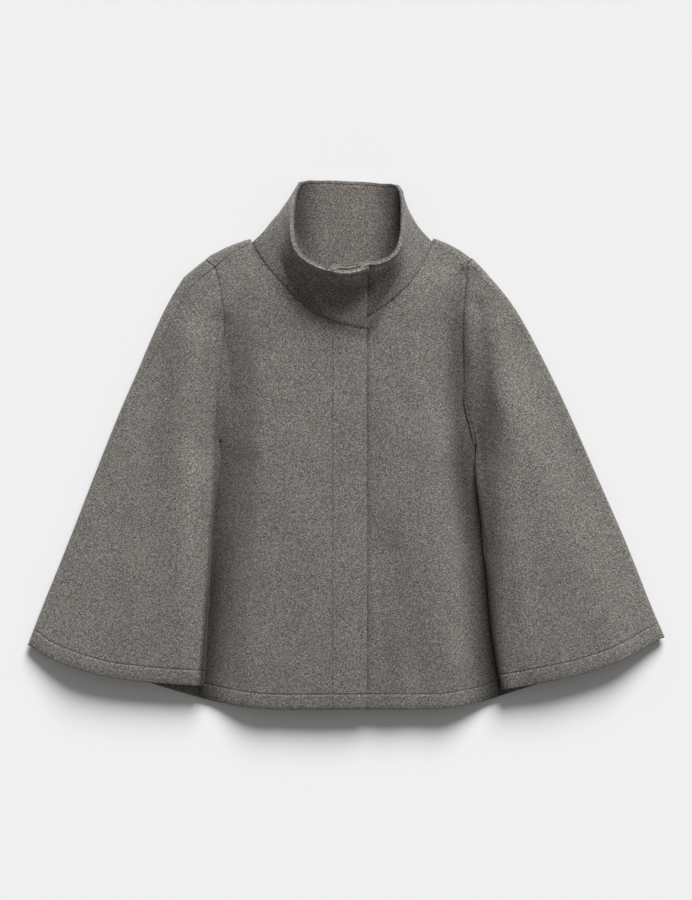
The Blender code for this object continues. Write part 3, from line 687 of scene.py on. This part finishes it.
def roll_edge(points, gap, from_under, is_under):
    """Leans the collar's front out, and brings its under end forwards and up."""
    at_front = np.clip((points[:, 2] - FRONT_ABOVE) / FRONT_FADE, 0, 1)
    away = points[:, :2] - collar_middle
    away /= np.linalg.norm(away, axis=1, keepdims=True)
    end_share = np.clip((UNDER_UNTIL - points[:, 0]) / UNDER_FADE, 0, 1) * is_under
    points[:, :2] += away * (LEAN * fade(gap, LEAN_REACH) * at_front * (1 - end_share))[:, None]
    near_end = fade(from_under, UNDER_REACH)
    forward = np.interp(points[:, 0] / MM + middle_x, *UNDER_FORWARD) * MM
    points[:, 1] -= forward * is_under * near_end
    points[:, 2] += UNDER_LIFT * (end_share * near_end)


# %% [markdown]
# Inside the open collar, the inner band carries on 20 mm down the back. Both bands then take
# their new points, and we keep each point's first distance from the rim for the steps to come.

# %% Inner band down the back
INSIDE_LENGTH = 20 * MM
BACK_BELOW, BACK_FADE = 20 * MM, 8 * MM  # heights above the surface
LOWER_EDGE, LOWER_FADE = (606 - middle_y) * MM, 26 * MM  # up the back from the hem


def lengthen_inside(points):
    """Carries the inner band on down the back."""
    low = np.clip((BACK_BELOW - points[:, 2]) / BACK_FADE, 0, 1)
    lower_edge = np.clip((LOWER_EDGE - points[:, 1]) / LOWER_FADE, 0, 1)
    points[:, 1] -= INSIDE_LENGTH * low * lower_edge


under_end, rim_gap = {}, {}
for node in ("collar", "collar_facing"):
    points = points_of(cloth[node])
    rim_gap[node], _ = nearest(rim_line, points)
    from_upper, _ = nearest(upper_line, points)
    from_under, _ = nearest(under_line, points)
    under_end[node] = (from_under < from_upper) & (points[:, 0] < UNDER_UNTIL)
    roll_edge(points, rim_gap[node], from_under, under_end[node])
    if node == "collar_facing":
        lengthen_inside(points)
    set_points(cloth[node], points)
print("collar rolled")

# %% [markdown]
# ## Sewing the seams shut
# The panels are cut 0.8 mm apart, so that each is its own solid. Sewn cloth shows no gap. So
# every point near a seam goes just over half of the way to the neighbour's cloth.

# %% Seams
SEAM_REACH, NECK_REACH, SEAM_WIDTH = 1.6 * MM, 4.5 * MM, 7 * MM
TO_OTHER = 0.52


def tree_of(piece, chosen=None):
    """A piece's surface to measure against, or only its faces that have a chosen point."""
    faces = [tuple(face.vertices) for face in piece.data.polygons]
    if chosen is not None:
        faces = [face for face in faces if chosen[list(face)].any()]
    return BVHTree.FromPolygons([v.co[:] for v in piece.data.vertices], faces)


def sew(first, second, line, reach):
    """Draws two pieces together where they meet along a line."""
    trees = tree_of(second), tree_of(first)
    for piece, other in zip((first, second), trees):
        points = points_of(piece)
        gap, _ = nearest(line, points[:, :2])
        for i in np.flatnonzero(gap < SEAM_WIDTH):
            place, _, _, distance = other.find_nearest(points[i])
            if distance < reach:
                points[i] = (1 - TO_OTHER) * points[i] + TO_OTHER * np.array(place)
        set_points(piece, points)


for side in ("right", "left"):
    front, back = cloth[f"front_{side}"], cloth["back"]
    sleeve_front, sleeve_back = cloth[f"sleeve_front_{side}"], cloth[f"sleeve_back_{side}"]
    sew(front, sleeve_front, lines[side, "armhole"], SEAM_REACH)
    sew(sleeve_front, sleeve_back, lines[side, "overarm"], SEAM_REACH)
    sew(front, back, lines[side, "overarm"], SEAM_REACH)
    sew(front, cloth["collar"], lines[side, "neck"], NECK_REACH)
print("seams shut")

# %% [markdown]
# Along the rim, we push the outer band's inner face on through the inner band, so that its edge
# covers the inner one and the two look like one roll. The collar's upper and under ends lie close
# together, so each is measured against its own part of the inner band.

# %% Outer band turned over the inner band's edge
CLOTH, BETWEEN = 2.2 * MM, 1.0 * MM
RIM_WIDTH, RIM_FULL, RIM_FADE, RIM_REACH = 7 * MM, 2.2 * MM, 4 * MM, 5 * MM
is_under = under_end["collar_facing"]
facing_trees = {flag: tree_of(cloth["collar_facing"], is_under == flag) for flag in (False, True)}
points = points_of(cloth["collar"])
turned = points.copy()
for i in np.flatnonzero(rim_gap["collar"] < RIM_WIDTH):
    other = facing_trees[bool(under_end["collar"][i])]
    place, _, _, distance = other.find_nearest(points[i])
    inner = np.clip(1 - (distance - BETWEEN) / CLOTH, 0, 1)
    near_rim = 1 - np.clip((rim_gap["collar"][i] - RIM_FULL) / RIM_FADE, 0, 1)
    if 0 < distance < RIM_REACH:
        towards = (np.array(place) - points[i]) / distance
        turned[i] += towards * inner * near_rim * (CLOTH + BETWEEN)
set_points(cloth["collar"], turned)
print("collar's edge turned")

# %% [markdown]
# ## Painted shade and highlights
# In a deep fold hardly any light comes back out. Our cloth is smoother and shallower than real
# wool, so its folds stay too pale. Each piece therefore carries painted shade for its finish: a few
# lines with a depth at each point, which fade out over a reach towards the middle of the coat and
# another away from it. They paint shade in the folds and creases and inside the collar, and shadow
# under the collar and beside the front edge. A negative depth is a painted highlight, on a ridge
# of a sleeve and along the collar's rim and front.

# %% Lines of painted shade and highlight
BODY_AND_SLEEVES = ("front_right", "front_left", "sleeve_front_right", "sleeve_front_left")
# Painted shade where the depth is above 0, and a painted highlight where it is below 0.
PAINTED_SHADE = [  # pieces, side, reach inwards and outwards in mm, path of x, y and depth
    # Painted shade in the folds beside the sleeves and in soft troughs, and painted highlights on
    # the sleeves' ridges.
    (BODY_AND_SLEEVES, "right", 44, 9,
     [(160, 520, 0.0), (162, 470, 0.12), (165, 400, 0.34), (166, 334, 0.48), (167, 270, 0.60),
      (171, 205, 0.76), (176, 141, 0.86), (181, 76, 0.86), (186, 10, 0.80)]),
    (BODY_AND_SLEEVES, "left", 24, 22,
     [(141, 560, 0.0), (144, 528, 0.30), (144, 463, 0.42), (145, 399, 0.46), (149, 334, 0.5),
      (155, 270, 0.5), (165, 205, 0.3), (172, 141, 0.0)]),
    (BODY_AND_SLEEVES, "left", 42, 30,
     [(174, 500, 0.0), (175, 463, 0.22), (176, 399, 0.38), (175, 334, 0.5), (176, 270, 0.58),
      (180, 205, 0.66), (182, 141, 0.76), (187, 76, 0.78), (194, 10, 0.78)]),
    (BODY_AND_SLEEVES, "right", 22, 26,
     [(199, 440, 0.0), (199, 360, -0.12), (200, 270, -0.17), (203, 190, -0.12), (206, 110, 0.0)]),
    (BODY_AND_SLEEVES, "left", 20, 30,
     [(194, 480, 0.0), (202, 400, -0.10), (208, 330, -0.14), (212, 250, -0.10), (214, 170, 0.0)]),
    (BODY_AND_SLEEVES, "right", 24, 24,
     [(222, 520, 0.0), (226, 470, 0.14), (236, 380, 0.15), (244, 280, 0.12), (250, 200, 0.0)]),
    (BODY_AND_SLEEVES, "left", 24, 24,
     [(40, 240, 0.0), (48, 200, 0.10), (54, 150, 0.13), (59, 110, 0.20), (64, 60, 0.22),
      (62, 10, 0.14)]),
    # Painted shadow beside the front edge, where it overlaps the other front.
    (("front_left",), "left", 1, 6,
     [(26.6, 490, 0.45), (26.6, 0, 0.45)]),
    # On the collar: painted shade in its front creases and along the neck seam, and painted
    # highlights along its rim and front.
    (("collar",), "right", 14, 8,
     [(84, 600, 0.0), (80, 588, 0.25), (77, 575, 0.50), (74, 560, 0.48), (68, 545, 0.45),
      (55, 528, 0.42), (34, 511, 0.36)]),
    (("collar",), "left", 14, 5,
     [(76, 590, 0.0), (72, 572, 0.15), (64, 556, 0.36), (54, 540, 0.36), (42, 524, 0.25)]),
    (("collar",), "left", 5, 5,
     [(76, 590, 0.0), (62, 575, -0.4), (41, 566, -0.5), (6, 564, -0.5), (-18, 566, -0.5),
      (-44, 574, -0.4), (-64, 592, 0.0)]),
    (("collar",), "right", 12, 12,
     [(118, 602, 0.0), (108, 577, 0.25), (78, 542, 0.3), (46, 512, 0.3), (0, 493, 0.25)]),
    (("collar",), "left", 14, 14,
     [(44, 552, 0.0), (39, 541, -0.35), (19, 515, -0.4), (0, 502, -0.35), (-16, 497, 0.0)]),
    (("collar",), "left", 12, 12,
     [(-24, 559, 0.0), (-8, 556, -0.3), (18, 555, -0.45), (40, 560, -0.2)]),
    # Painted shadow under the collar, on the fronts along the neck seam.
    (("front_right",), "right", 14, 16,
     [(118, 602, 0.0), (108, 577, 0.2), (78, 542, 0.28), (46, 512, 0.38), (20, 499, 0.4),
      (-27, 487, 0.3)]),
    (("front_left",), "left", 14, 6,
     [(83, 547, 0.0), (51, 518, 0.15), (40, 500, 0.3), (30, 485, 0.36)]),
    # Painted shade inside the collar, at its sides.
    (("collar_facing",), "right", 38, 10,
     [(56, 683, 0.55), (62, 655, 0.62), (62, 622, 0.62), (56, 596, 0.4)]),
    (("collar_facing",), "left", 38, 10,
     [(62, 683, 0.62), (68, 655, 0.68), (68, 622, 0.62), (60, 596, 0.45)]),
]


def painted_shade_and_highlight(piece, node):
    """The painted shade at each point of a piece: 0 for none, 1 for black, below 0 for a painted
    highlight.
    """
    points = points_of(piece)
    kept = np.ones(len(points))
    for nodes, side, inwards, outwards, path in PAINTED_SHADE:
        if node not in nodes:
            continue
        curve = smooth(path)
        plan = (curve[:, :2] * [SIGN[side], 1] - [middle_x, middle_y]) * MM
        gap, along = nearest(plan, points[:, :2])
        run = np.concatenate([[0], np.cumsum(np.linalg.norm(np.diff(plan, axis=0), axis=1))])
        depth = np.interp(along, run, curve[:, 2])
        line_x = np.interp(-points[:, 1], -plan[:, 1], plan[:, 0] * SIGN[side])
        inside = points[:, 0] * SIGN[side] < line_x
        share = np.clip(gap / (np.where(inside, inwards, outwards) * MM), 0, 1)
        kept *= 1 - depth * (1 - ease(share))
    return 1 - kept


# Each piece carries its painted shade and painted highlights as a value at its points.
for node, piece in cloth.items():
    carry(piece, "painted_shade_and_highlight", painted_shade_and_highlight(piece, node))
print(len(PAINTED_SHADE), "lines of shade")

# %% [markdown]
# ## Topstitching
# The hems and cuffs are stitched 20 mm in from their edge, the placket 44 mm in from the front
# edge, and the armholes along the seam itself. Each piece gets its distance to those lines.

# %% Distances for the stitched lines
FAR = 0.2
PLACKET_LINE = -16.5 * MM - middle_x * MM
HEM_SHARED = 12  # points of each hem by the centre line, where the two would overlap


def stitch_hem(piece, line):
    """Gives a piece its distance to a hem's edge."""
    gap, along = nearest(line, points_of(piece)[:, :2])
    carry(piece, "hem_distance", gap)
    carry(piece, "hem_along", along)


def stitch_seam(piece, distance=None, along=None):
    """Gives a piece its distance to a stitched seam, or a far one where it has none."""
    count = len(piece.data.vertices)
    carry(piece, "seam_distance", np.full(count, FAR) if distance is None else distance)
    carry(piece, "seam_along", np.zeros(count) if along is None else along)


body_hem = np.vstack([lines["right", "hem"][::-1][:-HEM_SHARED],
                      lines["left", "hem"][HEM_SHARED:]])
for node in ("back", "front_right", "front_left"):
    stitch_hem(cloth[node], body_hem)
stitch_seam(cloth["back"])
for side in ("right", "left"):
    for node in (f"sleeve_front_{side}", f"sleeve_back_{side}"):
        stitch_hem(cloth[node], lines[side, "cuff"])
    stitch_seam(cloth[f"sleeve_back_{side}"])
    for node in (f"front_{side}", f"sleeve_front_{side}"):
        points = points_of(cloth[node])
        distance, along = nearest(lines[side, "armhole"], points[:, :2])
        if node == "front_right":
            placket = points[:, 0] - PLACKET_LINE
            on_placket = np.abs(placket) < distance
            distance = np.where(on_placket, placket, distance)
            along = np.where(on_placket, points[:, 1], along)
        stitch_seam(cloth[node], distance, along)
print("hems, placket and armholes have their distances")

# %% [markdown]
# The collar's two bands are sewn together along the rim and topstitched 7 mm below it. The line
# shows on the inner band at the back, and sinks out of sight in the nap of the outer one.

# %% Collar's stitched rim
RIM_STITCH = 7 * MM
for node in ("collar", "collar_facing"):
    points = points_of(cloth[node])
    from_rim, along_rim = nearest(rim_line, points)
    hidden = np.full(len(points), FAR)
    carry(cloth[node], "hem_distance", hidden)
    carry(cloth[node], "hem_along", 0 * hidden)
    stitch_seam(cloth[node], hidden if node == "collar" else from_rim - RIM_STITCH, along_rim)
print("the rim's stitched line:", RIM_STITCH / MM, "mm in")

# %% [markdown]
# ## The sheets take the solids' place
# Every sheet stands in for its solid, which is hidden, and rides on the coat's one body.

# %% Sheets and their finish
for node, piece in cloth.items():
    make_active(piece)
    bpy.ops.object.shade_smooth_by_angle(angle=SMOOTH_UNDER)
    piece.data.materials.append(inner_wool if node == "collar_facing" else outer_wool)
    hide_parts(node)
    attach(piece, "root")
